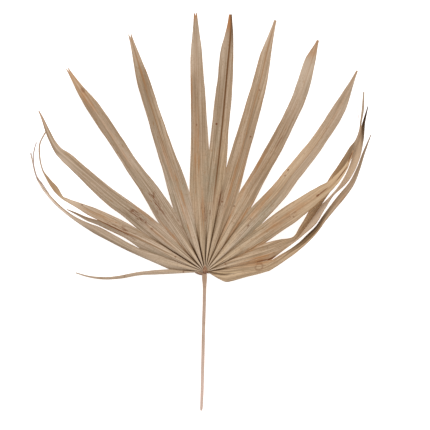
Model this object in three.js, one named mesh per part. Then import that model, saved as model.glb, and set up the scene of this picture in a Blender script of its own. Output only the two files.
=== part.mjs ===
// A dried fan palm leaf, cut with its stalk and lying face up on a table.
// Millimetres. +Y runs from the stalk's cut end towards the leaf tips, and +Z points up from the table.
// All of it is laid out round the head of the stalk, where the pleats meet, and centred at the end.
import * as THREE from "three";

// Blade: one thin pleated sheet, cut into segments from the rim down to its forks
const BLADE_THICKNESS = 0.9;
const ROOT_RADIUS = 5.4; // the pleats start on this circle round the head of the stalk
const ROOT_HEIGHT = 7.6; // height of a pleat's ridge there
const PLEAT_DEPTHS = [1.0, 3.2, 4.0, 3.6, 2.6]; // ridge to valley, evenly spaced from the root to a fork
const PLEATED_ROWS = 9;
const PLEATED_ROW_CROWDING = 1.3; // above 1 packs the rows towards the root
const FREE_ROWS = 22;
const ROWS_TO_A_STATION = 2;
const LEAST_HALF_WIDTH = 0.5;
const EDGE_SWELL = [0, 0.36, 0.72, 0.98, 0.92, 0.76, 0.6, 0.45, 0.32, 0.16, 0]; // share of an edge's bow

// The two outer edges of the fan, and between them the forks where segments part, left to right.
// Angles are in degrees from +X, radii from the head of the stalk. Bow is how far an edge swells sideways.
const FORKS = [
  { angle: 183.2, radius: 45 },
  { angle: 175.5, radius: 45.4 },
  { angle: 160.2, radius: 86.7 },
  { angle: 147.5, radius: 100.2 },
  { angle: 133.4, radius: 83.3 },
  { angle: 116.7, radius: 89.1 },
  { angle: 101.0, radius: 101.7 },
  { angle: 88.1, radius: 152.6 },
  { angle: 78.5, radius: 133 },
  { angle: 66.8, radius: 107 },
  { angle: 54.4, radius: 98.4 },
  { angle: 40.3, radius: 92.8 },
  { angle: 25.8, radius: 84 },
  { angle: 9.9, radius: 83.7 },
  { angle: 0.7, radius: 80, bow: -13 },
];

// The segments, left to right. Left and right are as seen looking out from the head of the stalk.
// An open one has its free rib as [x, y, z], from between the two forks to the tip. Its half widths,
// and fold, the degrees that both halves drop from the rib, are spread evenly on the route up to the tip.
// A folded one has stations from between the forks to the tip, on its rib and on both edges.
// Where it is split along its rib, rib ends at the split. leftRib and rightRib go on from there.
const SEGMENTS = [
  {
    rib: [[-45, 0.8, 9], [-81, -2, 6], [-106, -6.3, 3], [-125, -7.9, 1.5], [-144, -6, 0.9], [-162, -1, 3]],
    halfLeft: [2.6, 2, 1.5],
    halfRight: [2.6, 2, 1.5],
    tip: 0.7,
    fold: [10, 8, 0, 0],
  },
  {
    rib: [
      [-64, 16.5, 11], [-76.9, 20.1, 12.5], [-98.1, 30, 13.5], [-122.1, 42.8, 13.5], [-144, 56, 13.5],
      [-162.5, 66.6, 13.5], [-180.4, 80, 15], [-195.5, 95.9, 18], [-206, 110.2, 23], [-212, 123.7, 28],
      [-217.2, 148, 38],
    ],
    left: [
      [-71.3, 15.3, 9], [-93.8, 25, 9.5], [-118.8, 37.5, 10.5], [-141.3, 49.8, 12],
      [-161.3, 62.8, 12.5], [-181.3, 78.6, 14.5], [-196.6, 94.6, 18], [-206.9, 109.2, 23],
      [-212.6, 123.3, 28], [-217.8, 147.9, 38],
    ],
    right: [
      [-96.3, 36.8, 12.5], [-111.3, 45, 13], [-130, 55.3, 13], [-147.5, 62.3, 12.5], [-163.8, 70.2, 12.5],
      [-179.4, 81.6, 15], [-194.4, 97.3, 18], [-205, 111.3, 23], [-211.4, 124.1, 28], [-216.6, 148.1, 38],
    ],
  },
  {
    rib: [[-82.8, 42.4, 14], [-98.8, 49, 17], [-116.3, 56.8, 18.5], [-132.5, 64.4, 19.5]],
    left: [
      [-98.8, 41.5, 14], [-115, 49.6, 14.5], [-131.3, 57.5, 15], [-146.3, 63.4, 15.5], [-160, 70.9, 15.5],
      [-172.8, 77.9, 17],
    ],
    leftRib: [[-147.5, 68.6, 18], [-160.6, 74.1, 17], [-172.9, 78.9, 17]],
    rightRib: [
      [-146.9, 71.6, 20.5], [-160, 80, 21.5], [-171.9, 87, 22.5], [-178.8, 91.3, 23.5], [-187.2, 99.2, 25],
      [-193.8, 108.2, 28], [-199.1, 118, 31], [-203.5, 127.5, 34], [-206.7, 142.5, 37], [-206.6, 160, 40.5],
      [-199.2, 174.8, 43],
    ],
    right: [
      [-101.3, 63.4, 15.5], [-117.5, 71.3, 16.5], [-133.8, 78.8, 18], [-148.8, 84, 19.5],
      [-161.3, 88.4, 21], [-172.5, 92.3, 23], [-177.8, 95, 27], [-183.9, 104.4, 31],
      [-191, 112.8, 33], [-197.6, 120.8, 34], [-201.9, 128, 34.5], [-205.5, 142.5, 37],
      [-205.4, 160, 40.5], [-198.2, 174.2, 43],
    ],
  },
  {
    rib: [
      [-70.6, 59, 14], [-88.8, 73.8, 18.5], [-106.3, 86.9, 21], [-125, 102.5, 23.5],
      [-143.8, 118.8, 25.5], [-161.3, 133.8, 28.5], [-175, 145.6, 31.5], [-184.4, 152.9, 33.5],
      [-191.3, 163.8, 34.5], [-196.9, 176.9, 35.5], [-202.3, 190.5, 36.5], [-207.5, 201.5, 38],
    ],
    left: [
      [-101.3, 68.8, 16.5], [-118.8, 81.9, 19], [-136.3, 96.9, 21.5], [-153.8, 114.4, 24],
      [-169.4, 129.6, 26.5], [-181.9, 141.5, 29], [-188.1, 150.6, 31], [-193.8, 162.5, 33],
      [-199.3, 175.4, 34.5], [-203.8, 190, 36.5], [-208.1, 201.2, 38],
    ],
    right: [
      [-73.1, 73.4, 16.5], [-92.5, 87.5, 19], [-112.5, 101.9, 21.5], [-132.5, 117.8, 24.5],
      [-151.9, 134, 26.5], [-168.1, 147.8, 28.5], [-180, 155.3, 30.5], [-187.9, 165.4, 32],
      [-194.5, 178.1, 34], [-200.8, 191.3, 36.5], [-206.9, 201.8, 38],
    ],
  },
  {
    rib: [
      [-48.2, 71.2, 14], [-69.4, 102.5, 18], [-95.3, 137.5, 19], [-121.9, 178.3, 14], [-141, 206.6, 8],
      [-155.9, 228.1, 3], [-173, 255.6, 0.9],
    ],
    halfLeft: [9.4, 7.4, 7.4],
    halfRight: [10.2, 9.4, 8.2],
    tip: 1.6,
    fold: [8, 6, 3, 0],
  },
  {
    rib: [
      [-29, 90.5, 14], [-39.4, 123, 17], [-50.8, 155.6, 17], [-60.8, 187.4, 14], [-72, 222.9, 9],
      [-82.3, 258, 3.5], [-94.3, 298, 0.9],
    ],
    halfLeft: [11.2, 9.5, 7.8],
    halfRight: [10.4, 8.7, 6.8],
    tip: 1.9,
    fold: [8, 6, 3, 0],
  },
  {
    rib: [
      [-6.7, 127, 15], [-7.5, 152.5, 15.5], [-9.4, 215, 11], [-10.9, 277.5, 2.5], [-11.5, 300, 0.5],
      [-12, 324.6, 0.5],
    ],
    halfLeft: [10.3, 8.4, 7.3],
    halfRight: [11.1, 9.1, 6.7],
    tip: 2.1,
    fold: [8, 6, 4, 3],
  },
  {
    rib: [[17.2, 141.5, 15], [22.8, 196.3, 13], [28.8, 263.8, 4.5], [31.8, 295.8, 0.5], [31.8, 322.3, 0.5]],
    halfLeft: [12.6, 11.7, 10.2],
    halfRight: [8.5, 8.8, 5.5],
    tip: 2,
    fold: [0, -12, -6, 0],
  },
  {
    rib: [
      [34.3, 115, 15], [47.9, 160.6, 16], [61.6, 210.9, 11], [71.3, 246.8, 6], [78.8, 280, 2],
      [88.1, 315, 0.5],
    ],
    halfLeft: [11.6, 9.6, 7.8],
    halfRight: [9.9, 10.3, 6.6],
    tip: 1.7,
    fold: [8, 6, 3, 0],
  },
  {
    rib: [
      [50.2, 90, 15], [65.4, 116.9, 18], [90.4, 159.6, 19], [104, 187, 17], [117.4, 217.5, 12],
      [129.3, 251.9, 5], [141.3, 290, 0.5],
    ],
    halfLeft: [10.4, 10.6, 10.3, 9.4, 8.8, 9.2, 8.2],
    halfRight: [10, 9.2, 8.6, 8.2, 8.2, 7.9, 5.2],
    tip: 1.4,
    fold: [8, 6, 3, 0],
  },
  {
    rib: [
      [64.7, 70.4, 15], [91.6, 99.5, 20], [108.8, 121.9, 22], [136.4, 155.9, 21], [160.4, 191.8, 15],
      [171.9, 212.5, 9.5], [190.3, 251.8, 0.5],
    ],
    halfLeft: [10.6, 9.1, 8.2],
    halfRight: [10.6, 9.1, 8.2],
    tip: 1.1,
    fold: [8, 6, 3, 0],
  },
  {
    rib: [
      [73.5, 49.2, 15], [92.5, 62.5, 20.5], [112.5, 75.6, 24.5], [131.3, 88.1, 27.5], [145.6, 98.4, 29.5],
      [157.5, 106.9, 31], [167.5, 118.1, 32], [176, 130.6, 33], [181.5, 142.3, 33.5], [185, 151.9, 34],
    ],
    left: [
      [87.5, 73.1, 18], [106.3, 86.3, 22.5], [125, 97.5, 26], [140, 105.6, 28.5], [152.5, 112.5, 30.5],
      [163.8, 121.5, 32], [173.8, 132.5, 33], [180.4, 143.1, 33.5], [184.4, 151.7, 34],
    ],
    right: [
      [98.1, 52.5, 18], [116.3, 65, 22], [133.8, 79.1, 25.5], [148.8, 92.8, 28], [160.4, 104, 30],
      [170, 115.9, 31.5], [177.8, 129.1, 32.5], [182.5, 141.5, 33.3], [185.6, 152.1, 34],
    ],
  },
  {
    rib: [
      [78.8, 25.5, 12.5], [96.3, 32.5, 11.5], [113.1, 40.4, 10], [123.8, 52.5, 9.5], [135, 68.1, 9],
      [146.3, 85, 10],
    ],
    left: [
      [93.8, 40.9, 12.5], [110, 43.8, 15], [118.8, 57.1, 18], [130, 76.3, 19], [141.9, 94.4, 20],
      [153.8, 113.8, 21], [163.1, 128.1, 23], [172.5, 143.1, 26], [181.3, 156.9, 29], [187.9, 165.3, 30.5],
      [191.9, 176.3, 31.5], [193.5, 187.5, 32.5], [195.4, 202.5, 34], [197.3, 225, 36],
    ],
    leftRib: [
      [159.4, 104.4, 16], [170, 121.3, 19], [179.5, 134.5, 23.5], [187, 150.8, 27], [190.8, 163.6, 29],
      [194.1, 175.6, 31], [195.8, 187.5, 32.5], [198.4, 202.5, 34], [199, 225, 36],
    ],
    rightRib: [
      [158.2, 97, 11.5], [168, 109, 13], [177.2, 125, 16], [183.4, 141.7, 19.5], [187.5, 156.3, 22],
      [191, 167.5, 24.5], [194.1, 178.1, 26.5], [197.3, 189.4, 28.5], [202.9, 207.1, 31],
    ],
    right: [
      [97.5, 26.3, 10], [111.9, 37.1, 10.5], [124.4, 47.8, 12.5], [138.8, 60.9, 13.5], [149.4, 78.1, 13.5],
      [160.6, 95.6, 13], [172.5, 106.3, 15], [183.8, 120, 18], [191.3, 135, 20.5], [196, 151.3, 23],
      [198.1, 165.6, 25], [199.1, 177.5, 26.5], [200.4, 188.8, 28], [204, 206.9, 31],
    ],
  },
  {
    rib: [
      [72, 4, 9], [89.4, 12.5, 10], [105, 23.1, 10.5], [118.8, 31.9, 11], [131.3, 42.5, 12],
      [141.9, 53.8, 13.5], [149.4, 65.9, 15], [160, 80.6, 17.5], [173.1, 96.9, 19.5], [184.1, 111.5, 21],
      [192.1, 130, 23.5], [198.3, 148.1, 26.5], [207.2, 171.5, 31],
    ],
    left: [
      [93.8, 21.3, 9], [106.3, 28.8, 11.5], [116.9, 36.3, 15.5], [127.5, 46.3, 18.5], [137.5, 56.9, 20],
      [146.9, 69.4, 19], [157.5, 83.8, 18.5], [170, 99.6, 20], [181.3, 114, 21.5], [190, 131.3, 24],
      [196.6, 148.8, 27], [206.6, 171.3, 31],
    ],
    right: [
      [91.3, 8.1, 7.5], [105, 17.5, 8.5], [118.1, 27.5, 10], [132.5, 40.3, 11.5], [143.1, 52.5, 13],
      [151.3, 64.4, 14], [162.5, 78.1, 16], [176.3, 94.6, 18], [186.6, 110, 20], [194, 129.3, 22.5],
      [199.6, 147.6, 26], [207.8, 171.7, 31],
    ],
    bow: -4.5,
  },
];

// Stalk: rings from the cut end to the head, as the centre's place, half width, underside and top
const STALK_RINGS = [
  { x: -4.6, y: -173.5, half: 1.1, under: 0.5, top: 2.6 },
  { x: -4.4, y: -170, half: 1.7, under: 0, top: 3.6 },
  { x: -3.6, y: -150, half: 1.95, under: 0, top: 4.0 },
  { x: -2.8, y: -115, half: 2.05, under: 0, top: 4.2 },
  { x: -2.0, y: -75, half: 2.1, under: 0, top: 4.4 },
  { x: -0.9, y: -40, half: 2.15, under: 0, top: 4.7 },
  { x: -0.5, y: -20, half: 2.5, under: 0, top: 5.4 },
  { x: -0.3, y: -11, half: 3.1, under: 0.3, top: 6.6 },
  { x: -0.2, y: -6, half: 3.0, under: 0.8, top: 7.2 },
  { x: 0, y: -2, half: 4.2, under: 1.2, top: 8.2 },
  { x: 0, y: 1.5, half: 4.5, under: 1.8, top: 9.0 },
  { x: 0, y: 3.8, half: 2.9, under: 3, top: 8.4 },
  { x: 0, y: 4.9, half: 1.0, under: 4.6, top: 7.2 },
];
const STALK_SIDES = 12;

const BLADE_MATERIAL = new THREE.MeshStandardMaterial({ color: 0xb39a7b, roughness: 0.7, metalness: 0 });
const STALK_MATERIAL = new THREE.MeshStandardMaterial({ color: 0xb89a85, roughness: 0.65, metalness: 0 });

const UP = new THREE.Vector3(0, 0, 1);

// A smooth curve through values that are spread evenly over 0 to 1.
function along(values, share) {
  const last = values.length - 1;
  const index = Math.min(Math.floor(share * last), last - 1);
  const t = share * last - index;
  const at = (i) => values[THREE.MathUtils.clamp(i, 0, last)];
  const [a, b, c, d] = [at(index - 1), at(index), at(index + 1), at(index + 2)];
  const bend = (2 * a - 5 * b + 4 * c - d) * t * t + (3 * b - a - 3 * c + d) * t * t * t;
  return b + 0.5 * ((c - a) * t + bend);
}

function polar(radius, degrees) {
  const angle = THREE.MathUtils.degToRad(degrees);
  return new THREE.Vector3(radius * Math.cos(angle), radius * Math.sin(angle), 0);
}

function pleatedShare(row) {
  return Math.pow(row / PLEATED_ROWS, PLEATED_ROW_CROWDING);
}

// A point on the way from the root circle to an end, swollen sideways by bow.
function radialPoint(end, share, bow = 0) {
  const outward = new THREE.Vector3(end.x, end.y, 0).normalize();
  const root = outward.clone().multiplyScalar(ROOT_RADIUS);
  const sideways = new THREE.Vector3(-outward.y, outward.x, 0);
  const point = root.lerp(new THREE.Vector3(end.x, end.y, 0), share);
  return point.addScaledVector(sideways, bow * along(EDGE_SWELL, share));
}

function ridgeHeight(segment, share) {
  return THREE.MathUtils.lerp(ROOT_HEIGHT, segment.rib[0][2], share);
}

// Ridge of a segment's pleat, from the root to between its forks.
function ridgePoint(segment, row) {
  const share = pleatedShare(row);
  const point = radialPoint(new THREE.Vector3(...segment.rib[0]), share, segment.bow);
  return point.setZ(ridgeHeight(segment, share));
}

// Valley between two pleats, from the root to their fork. The fan's outer edges lie as deep as a valley.
function valleyPoint(index, row) {
  const share = pleatedShare(row);
  const fork = FORKS[index];
  const beside = [SEGMENTS[index - 1], SEGMENTS[index]].filter(Boolean);
  const ridge = beside.reduce((sum, segment) => sum + ridgeHeight(segment, share), 0) / beside.length;
  const point = radialPoint(polar(fork.radius, fork.angle), share, fork.bow);
  return point.setZ(ridge - along(PLEAT_DEPTHS, share));
}

// Nothing lies lower than the table.
function onTable(point) {
  point.z = Math.max(point.z, BLADE_THICKNESS);
  return point;
}

function listOf(count, make) {
  return Array.from({ length: count }, (_, index) => make(index));
}

// Directions in which a line runs, row by row.
function headings(line) {
  return line.map((point, row) => {
    const before = line[row - 1] ?? point;
    const after = line[row + 1] ?? point;
    return after.clone().sub(before).normalize();
  });
}

// The free part of an open segment: for each half its inner line, which is the rib, its outer edge and the
// direction that the sheet faces, row by row.
function openHalves(segment, leftFork, rightFork) {
  const route = new THREE.CatmullRomCurve3(segment.rib.map((p) => new THREE.Vector3(...p)));
  const rib = listOf(FREE_ROWS + 1, (row) => onTable(route.getPointAt(row / FREE_ROWS)));
  const aheads = headings(rib);
  const leftwards = aheads.map((ahead) => UP.clone().cross(ahead).normalize());
  const facings = aheads.map((ahead, row) => ahead.clone().cross(leftwards[row]));
  const half = (fork, halfWidths, sign) => {
    const start = fork.clone().sub(rib[0]);
    const startAhead = start.dot(aheads[0]);
    const startSide = Math.abs(start.dot(leftwards[0]));
    const startDrop = -start.dot(facings[0]);
    const folds = [THREE.MathUtils.radToDeg(Math.atan2(startDrop, startSide)), ...segment.fold];
    const widths = [Math.hypot(startSide, startDrop), ...halfWidths, segment.tip];
    const outer = rib.map((middle, row) => {
      const share = row / FREE_ROWS;
      const fold = THREE.MathUtils.degToRad(along(folds, share));
      const width = Math.max(along(widths, share), LEAST_HALF_WIDTH);
      const point = middle.clone().addScaledVector(aheads[row], startAhead * (1 - share));
      point.addScaledVector(leftwards[row], sign * width * Math.cos(fold));
      return onTable(point.addScaledVector(facings[row], -width * Math.sin(fold)));
    });
    return { inner: rib, outer, facings };
  };
  const left = half(leftFork, segment.halfLeft, 1);
  const right = half(rightFork, segment.halfRight, -1);
  return { left, right, sharedRows: FREE_ROWS };
}

// A smooth line through stations, with the same number of rows between each two.
function throughStations(stations) {
  const rows = (stations.length - 1) * ROWS_TO_A_STATION;
  const axes = [0, 1, 2].map((axis) => stations.map((station) => station[axis]));
  return listOf(rows + 1, (row) => new THREE.Vector3(...axes.map((values) => along(values, row / rows))));
}

// The same lines for a folded segment. Its halves share the rib as far as the split.
function foldedHalves(segment, leftFork, rightFork) {
  const rib = throughStations(segment.rib);
  const half = (fork, stations, rest, sign) => {
    const parted = rest ? throughStations([segment.rib.at(-1), ...rest]).slice(1) : [];
    const inner = [...rib, ...parted];
    const outer = throughStations([fork.toArray(), ...stations]);
    const facings = headings(inner).map((ahead, row) => {
      const leftward = outer[row].clone().sub(inner[row]).multiplyScalar(sign);
      return ahead.cross(leftward).normalize();
    });
    return { inner, outer, facings };
  };
  const left = half(leftFork, segment.left, segment.leftRib, 1);
  const right = half(rightFork, segment.right, segment.rightRib, -1);
  for (let row = 0; row < rib.length; row++) {
    const facing = left.facings[row].clone().add(right.facings[row]).normalize();
    left.facings[row] = facing;
    right.facings[row] = facing;
  }
  return { left, right, sharedRows: rib.length - 1 };
}

// Collects the sheet as pairs of points, one on its face and one below it, and closes it into a solid.
class Sheet {
  constructor() {
    this.faces = [];
    this.backs = [];
    this.triangles = [];
  }

  // Where the sheet lies on the table, its underside is level.
  pair(point, facing) {
    const back = point.clone().addScaledVector(facing, -BLADE_THICKNESS);
    if (point.z <= BLADE_THICKNESS) back.z = 0;
    this.faces.push(point);
    this.backs.push(back);
    return this.faces.length - 1;
  }

  // Two triangles between two neighbouring lines of pairs, left line first.
  strip(left, right) {
    for (let row = 0; row + 1 < left.length; row++) {
      this.triangles.push([left[row], right[row], right[row + 1]]);
      this.triangles.push([left[row], right[row + 1], left[row + 1]]);
    }
  }

  geometry() {
    const count = this.faces.length;
    const index = [];
    const open = new Map();
    for (const [a, b, c] of this.triangles) {
      index.push(a, b, c, count + a, count + c, count + b);
      for (const [from, to] of [[a, b], [b, c], [c, a]]) {
        if (!open.delete(`${to} ${from}`)) open.set(`${from} ${to}`, [from, to]);
      }
    }
    for (const [from, to] of open.values()) {
      index.push(from, count + from, count + to, from, count + to, to);
    }
    const geometry = new THREE.BufferGeometry().setFromPoints([...this.faces, ...this.backs]);
    geometry.setIndex(index);
    geometry.computeVertexNormals();
    return geometry;
  }
}

function bladeGeometry() {
  const sheet = new Sheet();
  const pleatedLine = (pointAt) => listOf(PLEATED_ROWS + 1, (row) => sheet.pair(pointAt(row), UP));
  const valleys = FORKS.map((_, index) => pleatedLine((row) => valleyPoint(index, row)));
  SEGMENTS.forEach((segment, index) => {
    const halves = segment.fold ? openHalves : foldedHalves;
    const forks = [valleyPoint(index, PLEATED_ROWS), valleyPoint(index + 1, PLEATED_ROWS)];
    const { left, right, sharedRows } = halves(segment, ...forks);
    const freeLine = (points, facings, from, to) =>
      points.slice(from, to).map((point, row) => sheet.pair(point, facings[from + row]));
    const ridge = pleatedLine((row) => ridgePoint(segment, row));
    const rib = [...ridge, ...freeLine(left.inner, left.facings, 1, sharedRows + 1)];
    const innerLine = (half) => [...rib, ...freeLine(half.inner, half.facings, sharedRows + 1)];
    const outerLine = (half, valley) => [...valley, ...freeLine(half.outer, half.facings, 1)];
    sheet.strip(outerLine(left, valleys[index]), innerLine(left));
    sheet.strip(innerLine(right), outerLine(right, valleys[index + 1]));
  });
  return sheet.geometry();
}

// Rings of points joined into a tube and closed by a fan at each end.
function loftGeometry(rings) {
  const sides = rings[0].length;
  const index = [];
  const corner = (ring, side) => ring * sides + (side % sides);
  for (let ring = 0; ring + 1 < rings.length; ring++) {
    for (let side = 0; side < sides; side++) {
      const [a, b] = [corner(ring, side), corner(ring, side + 1)];
      const [c, d] = [corner(ring + 1, side + 1), corner(ring + 1, side)];
      index.push(a, b, c, a, c, d);
    }
  }
  for (let side = 1; side + 1 < sides; side++) {
    index.push(corner(0, 0), corner(0, side + 1), corner(0, side));
    const end = rings.length - 1;
    index.push(corner(end, 0), corner(end, side), corner(end, side + 1));
  }
  const geometry = new THREE.BufferGeometry().setFromPoints(rings.flat());
  geometry.setIndex(index);
  geometry.computeVertexNormals();
  return geometry;
}

// A ring of the stalk: an oval whose lowest side is level.
function stalkRing({ x, y, half, under, top }) {
  const levelSide = Math.cos(Math.PI / STALK_SIDES);
  return listOf(STALK_SIDES, (side) => {
    const angle = (2 * Math.PI * (side + 0.5)) / STALK_SIDES;
    const rise = (under + top) / 2 + (((top - under) / 2) * Math.cos(angle)) / levelSide;
    return new THREE.Vector3(x + (half * Math.sin(angle)) / levelSide, y, rise);
  });
}

function namedMesh(name, geometry, material) {
  const mesh = new THREE.Mesh(geometry, material);
  mesh.name = name;
  return mesh;
}

const leaf = new THREE.Group();
leaf.add(namedMesh("fan_blade", bladeGeometry(), BLADE_MATERIAL));
leaf.add(namedMesh("petiole", loftGeometry(STALK_RINGS.map(stalkRing)), STALK_MATERIAL));

// The origin is on the table, under the middle of the leaf's outline.
const middle = new THREE.Box3().setFromObject(leaf, true).getCenter(new THREE.Vector3());
leaf.position.set(-middle.x, -middle.y, 0);

export default leaf;
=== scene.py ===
import math
import random

import bpy
import numpy as np
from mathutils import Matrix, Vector


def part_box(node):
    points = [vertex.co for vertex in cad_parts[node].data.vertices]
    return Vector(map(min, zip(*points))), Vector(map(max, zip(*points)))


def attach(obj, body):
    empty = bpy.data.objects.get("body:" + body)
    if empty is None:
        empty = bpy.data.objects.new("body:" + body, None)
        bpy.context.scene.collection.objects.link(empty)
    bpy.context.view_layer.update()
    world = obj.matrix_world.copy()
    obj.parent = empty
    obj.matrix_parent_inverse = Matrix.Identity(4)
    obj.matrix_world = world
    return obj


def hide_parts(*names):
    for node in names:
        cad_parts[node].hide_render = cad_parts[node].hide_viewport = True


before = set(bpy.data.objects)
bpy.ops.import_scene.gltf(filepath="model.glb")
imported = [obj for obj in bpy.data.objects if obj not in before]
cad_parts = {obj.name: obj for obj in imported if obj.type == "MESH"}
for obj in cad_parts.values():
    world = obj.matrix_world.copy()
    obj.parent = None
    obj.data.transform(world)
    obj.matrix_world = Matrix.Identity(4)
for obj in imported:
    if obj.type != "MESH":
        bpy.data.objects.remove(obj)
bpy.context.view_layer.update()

# A dried fan palm leaf lying face up. Lengths are millimetres, and places are measured from the hub, the
# head of the stalk where all pleats meet, with +Y towards the tips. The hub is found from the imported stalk.
MM = 0.001
STALK_HEAD_HALF_WIDTH = 4.5
STALK_HEAD_REACH = 4.9
_, stalk_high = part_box("petiole")
HUB = np.array([stalk_high.x - STALK_HEAD_HALF_WIDTH * MM, stalk_high.y - STALK_HEAD_REACH * MM, 0.0])

# Camera: the width of its field at a height, where the field's middle lies, and the lens
FIELD = 537.5
FIELD_HEIGHT = 12.0
FIELD_MIDDLE = (12.5, 71.25)
LENS = 900.0
SENSOR = 36.0
FAR_CLIP = 100.0

# Floor and light, with their places and sizes in metres
FLOOR_SIZE = 12.0
FLOOR_DROP = 0.0002
FLOOR_GLOW = 0.72
SKY_STRENGTH = 0.72
KEY_PLACE = (0.15, 1.3, 1.5)
KEY_AIM = (0.0, 0.05, 0.0)
KEY_SIZE = 0.9
KEY_POWER = 17.0

# Mesh detail
PLEATED_ROWS = 56
PLEATED_ROW_CROWDING = 1.3
FREE_ROWS = 100
ROWS_TO_A_STATION = 8
ROUTE_SAMPLES = 600
COLUMNS = [0, 0.035, 0.08, 0.2, 0.35, 0.5, 0.65, 0.8, 0.93, 1]
WELD = 2e-6
SMOOTH_ANGLE = 35
BLADE_SMOOTH_ANGLE = 50

# Blade: its sheet, the pleats round the hub, and the relief of each half
SHEET_THICKNESS = 0.5
LEAST_HALF_WIDTH = 0.75
ROOT_RADIUS = 2.4
ROOT_HEIGHT = 7.6
PLEAT_DEPTHS = [0.8, 1.5, 2.1, 2.4, 2.4]
EDGE_SWELL = [0, 0.36, 0.72, 0.98, 0.92, 0.76, 0.6, 0.45, 0.32, 0.16, 0]
VALLEY_SHARPNESS = 3.6
FORK_SHARPNESS = 1.7
RIB_WIDTH = 0.4
RIB_HEIGHT = 0.3
CREASE_WIDTH = 0.88
CUP_DEPTH = 0.35
EDGE_WAVE = 0.3
EDGE_LIFT = 0.48
WAVE_FULL_WIDTH = 6
LIFT_FULL_WIDTH = 8
WAVE_COUNTS = (1, 2, 4, 7)
WAVE_PACE = 1.7
WAVE_DECAY = -0.8
WAVE_SEED = 11
SPLIT_GAP = 0.8
SPLIT_END = 1.001
SLIT_HALF_WIDTH = 1.25
SLIT_SHARE = 0.42
FAINT_SLIT_WIDTH = 0.35

# Where the painted shade in slits and creases fades out, as shares of their reach
SLIT_FADE = (0.45, 1.1)
CREASE_FADE = (0.6, 1.2)

# Where along a segment its relief sets in and ends: -1 at the root circle, 0 at the fork, 1 at the tip
RIB_START = (-1.0, -0.6)
RIB_END = (0.9, 1.0)
CUP_START = (-0.2, 0.3)
PLEAT_END = (0.0, 0.3)

# Outer edges of the fan and the forks between its segments, left to right: degrees from +X, and radius
FORKS = [
    (183.2, 45), (175.5, 45.4), (160.2, 86.7), (147.5, 100.2), (133.4, 83.3), (116.7, 89.1), (101.0, 101.7),
    (88.1, 152.6), (78.5, 133), (66.8, 107), (54.4, 98.4), (40.3, 92.8), (25.8, 84), (9.9, 83.7), (0.7, 80),
]
LAST_EDGE_BOW = -13

# Painted shade in the slits between the pleats, at the same places: how far out it reaches, how dark it is
SLITS = [
    (20, 0.2), (40, 0.55), (42, 0.4), (82, 0.8), (48, 0.7), (54, 0.85), (64, 1.0), (52, 1.0), (105, 0.7),
    (90, 0.55), (92, 0.45), (60, 0.3), (62, 0.4), (34, 0.7), (20, 0.2),
]
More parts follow.
